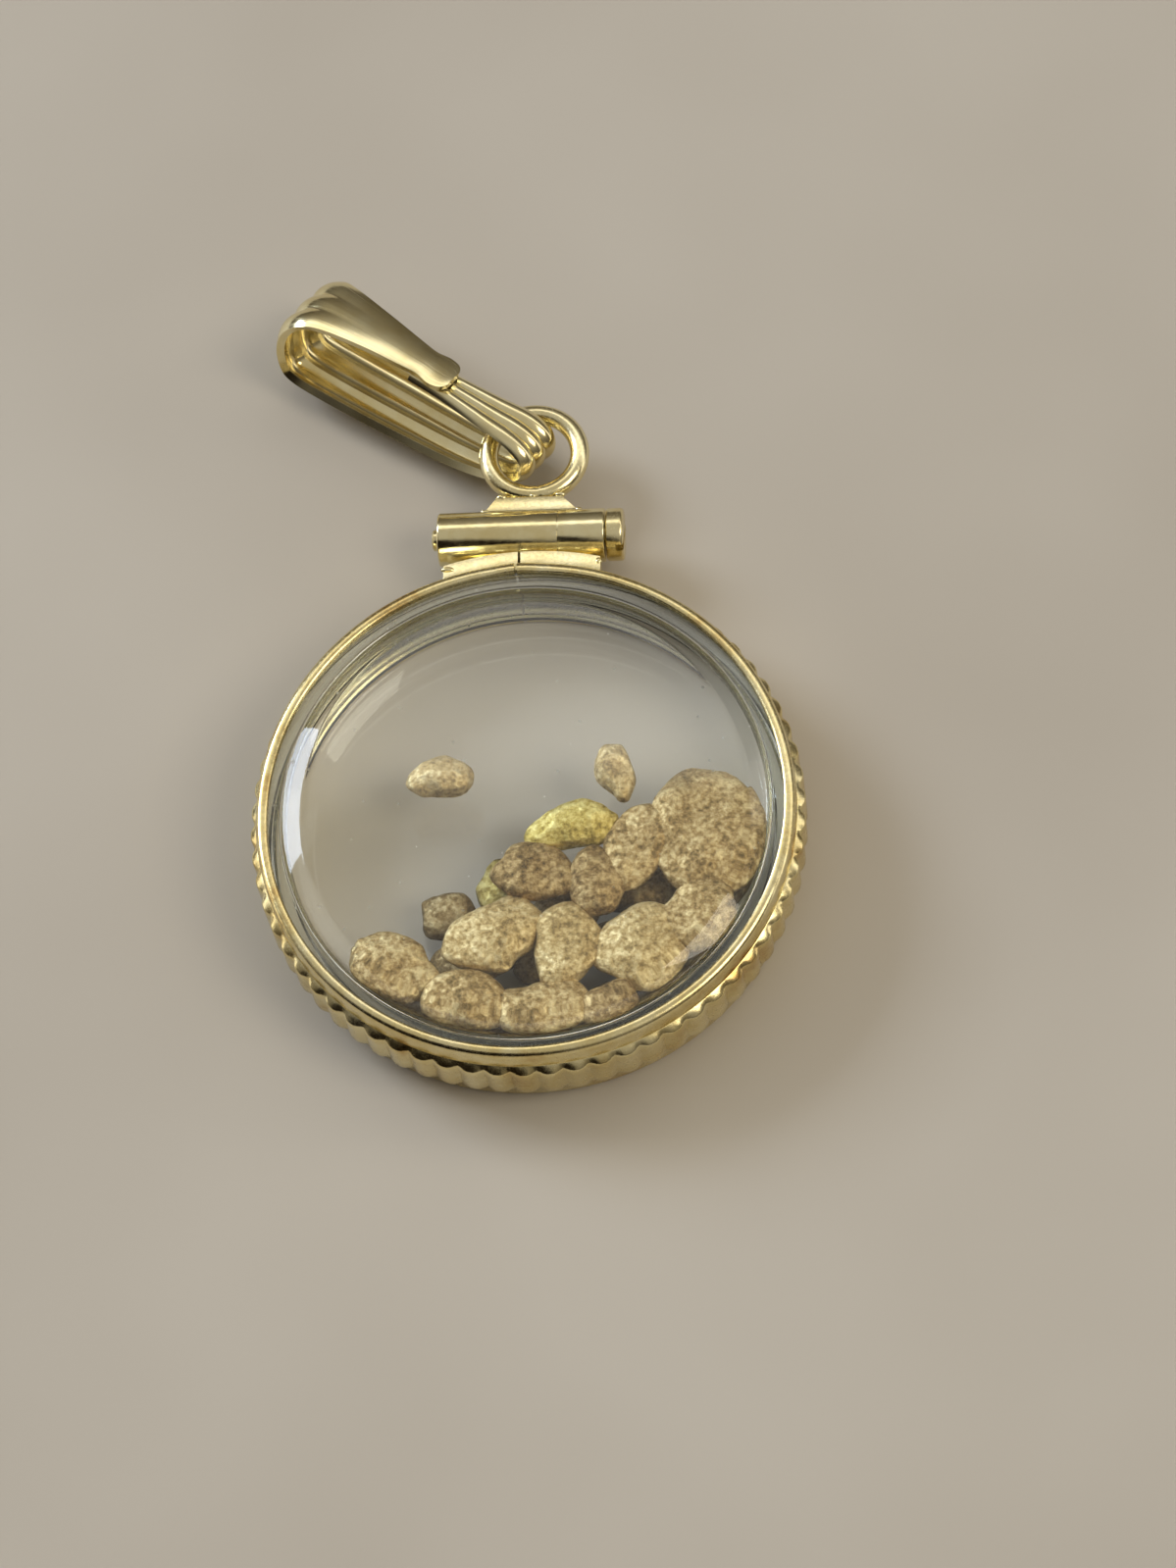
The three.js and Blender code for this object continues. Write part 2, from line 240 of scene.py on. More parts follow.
# Laminate table top, sealed and satin: even and pale, with a faint cloudiness and a soft sheen.
def tableLaminate():
    material, tree = startMaterial("tableLaminateSatin")
    place = addNode(tree, "ShaderNodeTexCoord").outputs["Object"]
    patches = addNode(tree, "ShaderNodeTexNoise", {"Scale": 1 / tableTop["patchSize"], "Detail": 3.0},
                      {"Vector": place})
    grain = addNode(tree, "ShaderNodeTexNoise", {"Scale": 1 / tableTop["grainSize"], "Detail": 4.0},
                    {"Vector": place})
    stops = [(0.35, tableTop["dark"]), (0.65, tableTop["light"])]
    tone = addNode(tree, "ShaderNodeValToRGB", {"stops": stops}, {"Fac": patches.outputs["Fac"]})
    bump = addNode(tree, "ShaderNodeBump", {"Strength": 0.12, "Distance": 0.00005},
                   {"Height": grain.outputs["Fac"]})
    shader = addNode(tree, "ShaderNodeBsdfPrincipled", {"Roughness": 0.55, "IOR": 1.45},
                     {"Base Color": tone.outputs["Color"], "Normal": bump.outputs["Normal"]})
    addNode(tree, "ShaderNodeOutputMaterial", None, {"Surface": shader.outputs["BSDF"]})
    return material


def addTable():
    deselectAll()
    bpy.ops.mesh.primitive_plane_add(size=tableTop["size"], location=(0, 0, -0.00002))
    table = bpy.context.object
    table.name = "tableTop"
    table.data.materials.append(tableLaminate())


room = {"floorward": "4A443C", "wall": "7A746A", "ceiling": "B4B0A8", "shade": "17110C", "strength": 1.0,
        "shadeDirection": (-0.45, -0.78, 0.42), "shadeEdge": (0.78, 0.86),
        "stripPlane": (0, 0.84, -0.545), "stripEdge": (0.15, 0.07), "strip": "FFFAF0", "stripGain": 1.7}

lights = {
    "window": {"towards": (-0.72, 0.45, 0.53), "distance": 0.6, "size": (0.24, 0.2), "power": 1.7,
               "colour": "DDEBFF"},
    "sidePanel": {"towards": (0.63, -0.17, 0.76), "distance": 0.7, "size": (0.3, 0.3), "power": 1.2,
                  "colour": "FFF6E4"},
}


# A pale room with one bright strip of ceiling light, dimmer walls, and the dark shape of whoever
# leans over the table.
def addRoom():
    world = bpy.data.worlds.new("room")
    world.use_nodes = True
    tree = world.node_tree
    tree.nodes.clear()
    direction = addNode(tree, "ShaderNodeTexCoord").outputs["Generated"]
    parts = addNode(tree, "ShaderNodeSeparateXYZ", None, {"Vector": direction})
    height = addNode(tree, "ShaderNodeValToRGB",
                     {"stops": [(0.02, room["floorward"]), (0.5, room["wall"]), (0.92, room["ceiling"])]},
                     {"Fac": parts.outputs["Z"]})
    towards = {"strip": Vector(room["stripPlane"]).normalized(),
               "shade": Vector(room["shadeDirection"]).normalized()}
    colour = height.outputs["Color"]
    for name, axis in towards.items():
        facing = addNode(tree, "ShaderNodeVectorMath", {"operation": "DOT_PRODUCT", 1: axis}, {0: direction})
        measure = facing.outputs["Value"]
        if name == "strip":
            flipped = addNode(tree, "ShaderNodeMath", {"operation": "ABSOLUTE"}, {0: measure})
            measure = flipped.outputs["Value"]
        begin, end = room[name + "Edge"]
        amount = addNode(tree, "ShaderNodeMapRange",
                         {"interpolation_type": "SMOOTHSTEP", "From Min": begin, "From Max": end},
                         {"Value": measure})
        shown = [c * room.get(name + "Gain", 1) for c in linearColour(room[name])]
        mixed = addNode(tree, "ShaderNodeMix", {"data_type": "RGBA", 7: shown},
                        {0: amount.outputs["Result"], 6: colour})
        colour = mixed.outputs[2]
    background = addNode(tree, "ShaderNodeBackground", {"Strength": room["strength"]}, {"Color": colour})
    addNode(tree, "ShaderNodeOutputWorld", None, {"Surface": background.outputs["Background"]})
    scene.world = world


def addLights():
    for name, values in lights.items():
        data = bpy.data.lights.new(name, "AREA")
        data.shape = "RECTANGLE"
        data.size, data.size_y = values["size"]
        data.energy = values["power"]
        data.color = linearColour(values["colour"])[:3]
        lamp = bpy.data.objects.new(name, data)
        towards = Vector(values["towards"]).normalized()
        lamp.location = towards * values["distance"]
        lamp.rotation_mode = "QUATERNION"
        lamp.rotation_quaternion = towards.to_track_quat("Z", "Y")
        lamp.visible_camera = False
        scene.collection.objects.link(lamp)


addTable()
addRoom()
addLights()
scene.view_settings.view_transform = "Standard"
print("table, room and lights in place")

# Gold finishes.
goldTones = {"bright": "F3E8BC", "warm": "E6D49A", "tarnish": "C09C5C"}


# Rolled gold, polished: a thin skin of yellow gold rolled on to brass. It gives a clear reflection,
# softened by fine rubbing marks, and a slightly redder bloom where it has worn.
def polishedGold(name, lineStretch=(1, 1, 1), roughness=(0.1, 0.24), source="Object"):
    material, tree = startMaterial(name)
    place = addNode(tree, "ShaderNodeTexCoord").outputs["Object"]
    bloom = addNode(tree, "ShaderNodeTexNoise", {"Scale": 550.0, "Detail": 4.0, "Roughness": 0.6},
                    {"Vector": place})  # patches about 2 mm across
    stops = [(0.3, goldTones["warm"]), (0.6, goldTones["bright"])]
    tone = addNode(tree, "ShaderNodeValToRGB", {"stops": stops}, {"Fac": bloom.outputs["Fac"]})
    stretched = addNode(tree, "ShaderNodeMapping", {"Scale": lineStretch}, {"Vector": place})
    rubbing = addNode(tree, "ShaderNodeTexNoise", {"Scale": 9000.0, "Detail": 5.0, "Roughness": 0.65},
                      {"Vector": stretched.outputs["Vector"]})  # marks about 0.1 mm apart
    pits = addNode(tree, "ShaderNodeTexNoise", {"Scale": 2600.0, "Detail": 2.0},
                   {"Vector": place})  # shallow pits about 0.4 mm across
    gloss = addNode(tree, "ShaderNodeMapRange", {"From Min": 0.3, "From Max": 0.7, "To Min": roughness[0],
                                                 "To Max": roughness[1]}, {"Value": rubbing.outputs["Fac"]})
    worn = addNode(tree, "ShaderNodeMath", {"operation": "MULTIPLY_ADD", 1: 0.25},
                   {0: pits.outputs["Fac"], 2: rubbing.outputs["Fac"]})
    bump = addNode(tree, "ShaderNodeBump", {"Strength": 0.22, "Distance": 0.000012},
                   {"Height": worn.outputs["Value"]})
    shader = addNode(tree, "ShaderNodeBsdfPrincipled", {"Metallic": 1.0},
                     {"Base Color": tone.outputs["Color"], "Roughness": gloss.outputs["Result"],
                      "Normal": bump.outputs["Normal"]})
    addNode(tree, "ShaderNodeOutputMaterial", None, {"Surface": shader.outputs["BSDF"]})
    return material


# Rolled gold, drawn round the ring: the same skin with faint lines that follow the strip round.
def drawnRingGold():
    material, tree = startMaterial("rolledGoldDrawnRound")
    place = addNode(tree, "ShaderNodeTexCoord").outputs["Object"]
    parts = addNode(tree, "ShaderNodeSeparateXYZ", None, {"Vector": place})
    flat = addNode(tree, "ShaderNodeCombineXYZ", None, {"X": parts.outputs["X"], "Y": parts.outputs["Y"]})
    radius = addNode(tree, "ShaderNodeVectorMath", {"operation": "LENGTH"}, {0: flat.outputs["Vector"]})
    around = addNode(tree, "ShaderNodeCombineXYZ", None,
                     {"X": radius.outputs["Value"], "Z": parts.outputs["Z"]})
    lines = addNode(tree, "ShaderNodeTexNoise", {"Scale": 14000.0, "Detail": 3.0, "Roughness": 0.6},
                    {"Vector": around.outputs["Vector"]})  # lines about 0.07 mm apart
    bloom = addNode(tree, "ShaderNodeTexNoise", {"Scale": 420.0, "Detail": 5.0, "Roughness": 0.65},
                    {"Vector": place})  # patches about 2.4 mm across
    scuffs = addNode(tree, "ShaderNodeTexNoise", {"Scale": 5200.0, "Detail": 4.0, "Roughness": 0.7},
                     {"Vector": place})  # knocks about 0.2 mm across
    stops = [(0.28, goldTones["tarnish"]), (0.45, goldTones["warm"]), (0.65, goldTones["bright"])]
    tone = addNode(tree, "ShaderNodeValToRGB", {"stops": stops}, {"Fac": bloom.outputs["Fac"]})
    mixed = addNode(tree, "ShaderNodeMath", {"operation": "MULTIPLY_ADD", 1: 0.5},
                    {0: lines.outputs["Fac"], 2: scuffs.outputs["Fac"]})
    gloss = addNode(tree, "ShaderNodeMapRange", {"From Min": 0.5, "From Max": 1.0, "To Min": 0.14,
                                                 "To Max": 0.32}, {"Value": mixed.outputs["Value"]})
    bump = addNode(tree, "ShaderNodeBump", {"Strength": 0.3, "Distance": 0.000014},
                   {"Height": mixed.outputs["Value"]})
    shader = addNode(tree, "ShaderNodeBsdfPrincipled", {"Metallic": 1.0},
                     {"Base Color": tone.outputs["Color"], "Roughness": gloss.outputs["Result"],
                      "Normal": bump.outputs["Normal"]})
    addNode(tree, "ShaderNodeOutputMaterial", None, {"Surface": shader.outputs["BSDF"]})
    return material


# Rolled gold, drawn lengthwise: the bail's strip, with fine die lines along its flutes.
def drawnStripGold():
    material, tree = startMaterial("rolledGoldDrawnStrip")
    coordinates = addNode(tree, "ShaderNodeTexCoord")
    stretched = addNode(tree, "ShaderNodeMapping", {"Scale": (34.0, 5.0, 1.0)},
                        {"Vector": coordinates.outputs["UV"]})
    lines = addNode(tree, "ShaderNodeTexNoise", {"Scale": 1.0, "Detail": 4.0, "Roughness": 0.6},
                    {"Vector": stretched.outputs["Vector"]})  # die lines about 0.09 mm apart
    bloom = addNode(tree, "ShaderNodeTexNoise", {"Scale": 500.0, "Detail": 4.0, "Roughness": 0.6},
                    {"Vector": coordinates.outputs["Object"]})  # patches about 2 mm across
    stops = [(0.3, goldTones["warm"]), (0.6, goldTones["bright"])]
    tone = addNode(tree, "ShaderNodeValToRGB", {"stops": stops}, {"Fac": bloom.outputs["Fac"]})
    gloss = addNode(tree, "ShaderNodeMapRange", {"From Min": 0.3, "From Max": 0.7, "To Min": 0.12,
                                                 "To Max": 0.28}, {"Value": lines.outputs["Fac"]})
    bump = addNode(tree, "ShaderNodeBump", {"Strength": 0.2, "Distance": 0.000012},
                   {"Height": lines.outputs["Fac"]})
    shader = addNode(tree, "ShaderNodeBsdfPrincipled", {"Metallic": 1.0},
                     {"Base Color": tone.outputs["Color"], "Roughness": gloss.outputs["Result"],
                      "Normal": bump.outputs["Normal"]})
    addNode(tree, "ShaderNodeOutputMaterial", None, {"Surface": shader.outputs["BSDF"]})
    return material


# Gold solder, as it froze: a paler alloy with a softly rippled skin, so it breaks light into spots.
def solderGold():
    material, tree = startMaterial("goldSolderFrozen")
    place = addNode(tree, "ShaderNodeTexCoord").outputs["Object"]
    ripple = addNode(tree, "ShaderNodeTexNoise", {"Scale": 4200.0, "Detail": 3.0},
                     {"Vector": place})  # ripples about 0.25 mm across
    tone = addNode(tree, "ShaderNodeValToRGB", {"stops": [(0.3, "E2D095"), (0.7, "F4EABF")]},
                   {"Fac": ripple.outputs["Fac"]})
    bump = addNode(tree, "ShaderNodeBump", {"Strength": 0.5, "Distance": 0.00003},
                   {"Height": ripple.outputs["Fac"]})
    shader = addNode(tree, "ShaderNodeBsdfPrincipled", {"Metallic": 1.0, "Roughness": 0.2},
                     {"Base Color": tone.outputs["Color"], "Normal": bump.outputs["Normal"]})
    addNode(tree, "ShaderNodeOutputMaterial", None, {"Surface": shader.outputs["BSDF"]})
    return material


barrelGold = polishedGold("rolledGoldPolished", (0.35, 1, 1))
fittingGold = polishedGold("rolledGoldPolishedFitting", (1, 1, 1), (0.12, 0.3))
bandGold = drawnRingGold()
stripGold = drawnStripGold()
solder = solderGold()

# Bezel band: one spun strip with two lips and a coin-edge belt, split at the top.
bezelBand = {"lipInner": 9.25, "outside": 9.68, "groove": 9.42, "lipDepth": 0.26, "beltHalf": 0.95,
             "beltSlope": 0.12, "beltFlat": 0.55, "teeth": 66, "toothSteps": 8, "toothDepth": 0.15,
             "valleyShare": 0.3, "crownShare": 0.14, "gap": 0.1, "gapX": -0.45, "endLift": 0.05,
             "endShift": 0.02, "endReach": 1.1, "clear": 0.02}

# The rolled lip, as (out from its inner edge, down from its face).
rolledLip = [(0, 0.09), (0.012, 0.045), (0.05, 0.015), (0.1, 0.003), (0.17, 0), (0.23, 0.006), (0.3, 0.032),
             (0.36, 0.075), (0.405, 0.145)]


def bandOutline():
    b = bezelBand
    half = [(b["lipInner"], b["lipDepth"] + b["clear"])]
    half += [(b["lipInner"] + out, down) for out, down in rolledLip]
    half += [(b["outside"], b["lipDepth"])]
    step = midZ - b["beltHalf"]
    half += [(b["outside"], step - 0.06), (b["outside"] + 0.012, step - 0.02), (b["outside"] + 0.05, step)]
    half += [(beltRadius - 0.05, step + b["beltSlope"]), (beltRadius - 0.015, step + b["beltSlope"] + 0.04)]
    half += [(beltRadius, step + b["beltSlope"] + 0.1), (beltRadius, step + b["beltFlat"])]
    front = [(r, thickness - z) for r, z in reversed(half)]
    grooveEdge = b["lipDepth"] + b["clear"]
    groove = [(b["groove"], thickness - grooveEdge), (b["groove"], grooveEdge)]
    return [(r, 0, z) for r, z in half + front + groove]


# How deep the reeding is at a share of one tooth: a narrow valley and a rounded crest.
def toothDip(phase):
    across = min(phase, 1 - phase)
    valley = max(0.0, 1 - across / bezelBand["valleyShare"]) ** 0.8
    crown = (1 - 2 * across) ** 2 * bezelBand["crownShare"]
    return bezelBand["toothDepth"] * max(valley, crown)


def makeBand():
    b = bezelBand
    band = drawOutline("bezelBand", bandOutline())
    gapAngle = b["gap"] / b["outside"]
    gapMiddle = math.pi / 2 + math.asin(-b["gapX"] / b["outside"])
    startAngle = gapMiddle - gapAngle / 2
    steps = b["teeth"] * b["toothSteps"]
    stepAngle = (2 * math.pi - gapAngle) / steps
    bpy.ops.mesh.select_all(action="SELECT")
    bpy.ops.transform.rotate(value=-startAngle, orient_axis="Z", center_override=(0, 0, 0))
    spinOutline(band, (0, 0, 1), (0, 0, 0), steps, steps * stepAngle)

    def column(co):
        return round(((startAngle - math.atan2(co.y, co.x)) % (2 * math.pi)) / stepAngle)

    def onBelt(co):
        return co.xy.length > b["outside"] + 0.1

    for step in range(b["toothSteps"]):
        shrink = 1 - toothDip(step / b["toothSteps"]) / beltRadius
        selectWhere(band, lambda co: onBelt(co) and column(co) % b["toothSteps"] == step)
        bpy.ops.transform.resize(value=(shrink, shrink, 1), center_override=(0, 0, 0))
    for end in (0, steps):
        selectWhere(band, lambda co: column(co) == end)
        bpy.ops.mesh.edge_face_add()
    # the right end's front lip stands a little proud of the left end's
    selectWhere(band, lambda co: column(co) == 0 and co.z > thickness - 0.3)
    bpy.ops.transform.translate(value=(0, b["endShift"], b["endLift"]), use_proportional_edit=True,
                                proportional_edit_falloff="SMOOTH", proportional_size=b["endReach"])
    bpy.ops.mesh.select_all(action="SELECT")
    bpy.ops.mesh.normals_make_consistent(inside=False)
    editEnd()
    finishPiece(band, bandGold, "bezel", ["bezel_band"], 30)


makeBand()
print("bezel band made")

# Capsule: two stepped crystals that plug into a clear wall.
crystal = {"window": 8.0, "bevelOut": 8.75, "bevelDrop": 0.3, "rim": 9.38, "glass": 0.6, "skirt": 8.82,
           "skirtDrop": 0.24, "corner": 0.02, "rimCorner": 0.03, "segments": 192}
capsuleWall = {"inner": 8.85, "outer": 9.38, "low": 0.62, "high": 3.18, "edge": 0.05}


# Clear acrylic, injection moulded and polished by the mould: glassy, with faint rubbing marks and
# the odd speck of dust, so it shows the room in it and sharp lines at each step.
def mouldedAcrylic(name, tint, marks):
    material, tree = startMaterial(name)
    place = addNode(tree, "ShaderNodeTexCoord").outputs["Object"]
    haze = addNode(tree, "ShaderNodeTexNoise", {"Scale": 900.0, "Detail": 5.0, "Roughness": 0.7},
                   {"Vector": place})  # rubbed patches about 1 mm across
    specks = addNode(tree, "ShaderNodeTexVoronoi", {"Scale": 900.0, "Randomness": 1.0},
                     {"Vector": place})  # specks about 1 mm apart
    dust = addNode(tree, "ShaderNodeMapRange",
                   {"From Min": 0.03, "From Max": 0.09, "To Min": 0.35, "To Max": 0.0},
                   {"Value": specks.outputs["Distance"]})
    rubbed = addNode(tree, "ShaderNodeMapRange", {"From Min": 0.45, "From Max": 0.75, "To Min": 0.01,
                                                  "To Max": marks}, {"Value": haze.outputs["Fac"]})
    gloss = addNode(tree, "ShaderNodeMath", {"operation": "ADD", "use_clamp": True},
                    {0: rubbed.outputs["Result"], 1: dust.outputs["Result"]})
    wave = addNode(tree, "ShaderNodeTexNoise", {"Scale": 260.0, "Detail": 1.0}, {"Vector": place})
    bump = addNode(tree, "ShaderNodeBump", {"Strength": 0.05, "Distance": 0.00003},
                   {"Height": wave.outputs["Fac"]})  # slow moulding waves about 4 mm long
    shader = addNode(tree, "ShaderNodeBsdfPrincipled",
                     {"Base Color": linearColour(tint), "IOR": 1.49, "Transmission Weight": 1.0},
                     {"Roughness": gloss.outputs["Value"], "Normal": bump.outputs["Normal"]})
    addNode(tree, "ShaderNodeOutputMaterial", None, {"Surface": shader.outputs["BSDF"]})
    return material


windowAcrylic = mouldedAcrylic("acrylicMouldedWindow", "FAFCFB", 0.05)
wallAcrylic = mouldedAcrylic("acrylicMouldedWall", "F4F8F6", 0.08)


def crystalOutline():
    c = crystal
    window, bevel, rim, skirt = (c[key] for key in ("window", "bevelOut", "rim", "skirt"))
    ledge, inside, end = c["bevelDrop"], c["glass"], c["glass"] + c["skirtDrop"]
    corner, rimCorner = c["corner"], c["rimCorner"]
    # the flat window, rounded over into the bevel
    points = [(0, 0), (window - corner, 0), (window + 0.07, 0.015), (window + 0.14, 0.05)]
    # the foot of the bevel, and the ledge that the band's lip holds
    points += [(bevel - 0.06, ledge - 0.035), (bevel + 0.02, ledge - 0.005), (bevel + 0.12, ledge)]
    points += [(rim - rimCorner, ledge), (rim, ledge + rimCorner), (rim, inside - corner)]
    # the skirt that plugs into the wall, with its hollow inner side
    points += [(rim - corner, inside), (skirt + corner, inside), (skirt, inside + corner)]
    points += [(skirt, end - corner), (skirt - rimCorner, end)]
    points += [(skirt - 0.1, inside + 0.13), (skirt - 0.22, inside + 0.04), (skirt - 0.38, inside)]
    return points + [(0, inside)]


# Clear plastic throws no shadow to speak of, so light reaches the flakes and the table through it.
def letLightThrough(piece):
    piece.visible_shadow = False
    piece.visible_diffuse = False


def makeCrystal(name, node, front):
    place = (lambda z: thickness - z) if front else (lambda z: z)
    piece = drawOutline(name, [(r, 0, place(z)) for r, z in crystalOutline()], closed=False)
    spinOutline(piece, (0, 0, 1), (0, 0, 0), crystal["segments"])
    editEnd()
    letLightThrough(finishPiece(piece, windowAcrylic, "bezel", [node], 24))


def makeCapsuleWall():
    w = capsuleWall
    e = w["edge"]
    corners = [(w["inner"], w["low"] + e), (w["inner"] + e, w["low"]), (w["outer"] - e, w["low"]),
               (w["outer"], w["low"] + e), (w["outer"], w["high"] - e), (w["outer"] - e, w["high"]),
               (w["inner"] + e, w["high"]), (w["inner"], w["high"] - e)]
    piece = drawOutline("capsuleWall", [(r, 0, z) for r, z in corners])
    spinOutline(piece, (0, 0, 1), (0, 0, 0), crystal["segments"])
    editEnd()
    letLightThrough(finishPiece(piece, wallAcrylic, "bezel", ["capsule_wall"], 24))


makeCrystal("frontCrystal", "front_crystal", True)
makeCrystal("backCrystal", "back_crystal", False)
makeCapsuleWall()
print("capsule made")

# Barrel tubes and the clamp screw, all turned about the barrel's axis.
barrel = {"bore": 0.5, "boreEdge": 0.02, "edge": 0.09, "innerEdge": 0.012, "segments": 96, "edgeSteps": 4,
          "close": 0.018}
clampScrew = {"shank": 0.45, "headEdge": 0.12, "slotWidth": 0.26, "slotDepth": 0.28, "slotTilt": -32,
              "threadPitch": 0.35, "threadDepth": 0.06, "threadEnd": -2.6, "headLength": 0.64}


# Places at the rounded corner of a turned piece, as (along, radius).
def turnedCorner(along, radius, edge, quarter):
    centre = (along - math.copysign(edge, math.cos(math.radians(quarter + 45))), radius - edge)
    turns = [math.radians(quarter + 90 * i / barrel["edgeSteps"]) for i in range(barrel["edgeSteps"] + 1)]
    return [(centre[0] + edge * math.cos(t), centre[1] + edge * math.sin(t)) for t in turns]


def turnOnBarrel(name, outline, closed):
    points = [(along, barrelY + radius, midZ) for along, radius in outline]
    piece = drawOutline(name, points, closed)
    spinOutline(piece, (1, 0, 0), (0, barrelY, midZ), barrel["segments"])
    editEnd()
    return piece


def makeTube(name, node, low, high, outerEnd):
    b = barrel
    edges = (b["edge"], b["innerEdge"]) if outerEnd == "left" else (b["innerEdge"], b["edge"] * 0.6)
    outline = [(low, b["bore"] + b["boreEdge"]), *reversed(turnedCorner(low, barrelRadius, edges[0], 90)),
               *reversed(turnedCorner(high, barrelRadius, edges[1], 0)), (high, b["bore"] + b["boreEdge"]),
               (high - b["boreEdge"], b["bore"]), (low + b["boreEdge"], b["bore"])]
    piece = turnOnBarrel(name, outline, True)
    finishPiece(piece, barrelGold, "bezel", [node], 40)


def makeScrew():
    s = clampScrew
    headEnd = screwHigh.x
    headStart = headEnd - s["headLength"]
    headRadius = (screwHigh.y - screwLow.y) / 2
    root = s["shank"] - s["threadDepth"]
    # the shank's chamfered tip
    outline = [(screwLow.x, 0), (screwLow.x, s["shank"] - 0.12), (screwLow.x + 0.06, s["shank"] - 0.05)]
    along = screwLow.x + 0.1
    while along < s["threadEnd"]:  # the few turns of thread that could show at the tube's end
        outline += [(along, root), (along + s["threadPitch"] / 2, s["shank"])]
        along += s["threadPitch"]
    outline += [(along, root), (headStart, root)]
    outline += [(headStart, headRadius - 0.06), (headStart + 0.05, headRadius)]
    outline += [*reversed(turnedCorner(headEnd, headRadius, s["headEdge"], 0)), (headEnd, 0)]
    screw = turnOnBarrel("clampScrew", outline, False)
    deselectAll()
    bpy.ops.mesh.primitive_cube_add(size=1, location=(headEnd + 0.5 - s["slotDepth"], barrelY, midZ))
    cutter = bpy.context.object
    cutter.scale = (1, 4, s["slotWidth"])
    cutter.rotation_euler = (math.radians(s["slotTilt"]), 0, 0)
    applyPlace(cutter)
    applyModifier(screw, "BOOLEAN", operation="DIFFERENCE", object=cutter, solver="EXACT")
    bpy.data.objects.remove(cutter)
    finishPiece(screw, fittingGold, "screw", ["clamp_screw"], 35)


makeTube("barrelTubeLong", "barrel_tube_left", tubeLeftLow.x, tubeLeftHigh.x + barrel["close"], "left")
makeTube("barrelTubeShort", "barrel_tube_right", tubeRightLow.x - barrel["close"], tubeRightHigh.x, "right")
makeScrew()
print("barrel and screw made")

# Saddles and foot: filed to fit the rim, the barrel and the ring, with softened edges.
filed = {"saddle_left": 0.26, "saddle_right": 0.26, "loop_foot": 0.07, "segments": 4}


# A merged copy of a CAD node in millimetres, ready to be refined.
def copyNode(node, name):
    pick(frame["nodes"][node])
    bpy.ops.object.duplicate()
    piece = bpy.context.object
    piece.name = name
    piece.scale = (1 / millimetre,) * 3
    applyPlace(piece)
    editStart(piece)
    bpy.ops.mesh.remove_doubles(threshold=1e-3)
    bpy.ops.mesh.customdata_custom_splitnormals_clear()
    editEnd()
    return piece


def makeFiled(node, name):
    piece = copyNode(node, name)
    editStart(piece)
    bpy.ops.mesh.dissolve_limited(angle_limit=math.radians(0.6))
    editEnd()
    applyModifier(piece, "BEVEL", width=filed[node], segments=filed["segments"], limit_method="ANGLE",
                  angle_limit=math.radians(32), use_clamp_overlap=True)
    finishPiece(piece, fittingGold, "bezel", [node], 30)


makeFiled("saddle_left", "saddleLeft")
makeFiled("saddle_right", "saddleRight")
makeFiled("loop_foot", "loopFoot")
print("saddles and foot made")

# Ring: round wire, its two ends soldered together on the foot.
ring = {"around": 120, "wireSegments": 32, "flat": 0.05, "seamDepth": 0.03, "seamAngle": -84}


def makeRing():
    deselectAll()
    bpy.ops.mesh.primitive_torus_add(location=(0, ringY, midZ), major_segments=ring["around"],
                                     minor_segments=ring["wireSegments"], major_radius=ringRadius,
                                     minor_radius=ringWire)
    piece = bpy.context.object
    piece.name = "loopRing"
    applyPlace(piece)
    editStart(piece)
    # a shallow seam where the wire's ends meet, beside the foot
    seam = math.radians(ring["seamAngle"])
    pitch = 2 * math.pi / ring["around"]

    def fromSeam(co):
        return (math.atan2(co.y - ringY, co.x) - seam + math.pi) % (2 * math.pi) - math.pi

    selectWhere(piece, lambda co: abs(fromSeam(co)) < pitch * 0.6)
    shrink = 1 - ring["seamDepth"] / ringWire
    seat = (ringRadius * math.cos(seam), ringY + ringRadius * math.sin(seam), midZ)
    bpy.ops.transform.resize(value=(shrink, shrink, shrink), center_override=seat)
    # the wire is hammered a little flat where it sits on the foot
    selectWhere(piece, lambda co: co.y < ringY - ringRadius - ringWire * 0.7)
    bpy.ops.transform.translate(value=(0, ring["flat"], 0))
    editEnd()
    finishPiece(piece, fittingGold, "bezel", ["loop_ring"], 0)


makeRing()
print("ring made")

# Bail: one fluted strip, bent to a teardrop loop, with a smooth crowned front and a flared tip.
bail = {"lean": 56.2, "roll": 17, "rise": 0.08, "sheet": 0.3, "ribs": 3, "ribHeight": 0.1, "perRib": 8,
        "steps": 176, "edge": 0.06}

# Places along the strip: how far out from the ring's wire, how far in front, width, flutes and crown.
bailRoute = [
    (3.7, 1.0, 1.05, 1, 0), (2.4, 0.98, 1.15, 1, 0), (0.6, 0.9, 1.5, 1, 0),
    (-0.8, 0.84, 1.85, 1, 0), (-1.62, 0.52, 2.0, 1, 0), (-1.9, 0, 2.0, 1, 0),
    (-1.66, -0.58, 2.0, 1, 0), (-0.9, -1.12, 2.15, 1, 0.03), (1.0, -1.42, 2.6, 1, 0.06),
    (4.0, -1.5, 2.95, 1, 0.1), (7.0, -1.52, 3.1, 1, 0.12), (8.4, -1.4, 3.1, 1, 0.12),
    (8.9, -0.9, 3.15, 1, 0.12), (9.1, 0, 3.15, 1, 0.1), (8.9, 0.95, 3.1, 1, 0.1),
    (8.3, 1.6, 2.9, 0.7, 0.11), (7.4, 1.84, 2.5, 0.15, 0.13), (5.6, 1.8, 1.9, 0, 0.12),
    (4.0, 1.64, 1.45, 0, 0.1), (3.3, 1.58, 1.3, 0, 0.1), (2.75, 1.52, 1.5, 0, 0.1),
    (2.3, 1.48, 1.3, 0, 0.07), (2.1, 1.46, 0.7, 0, 0.03),
]


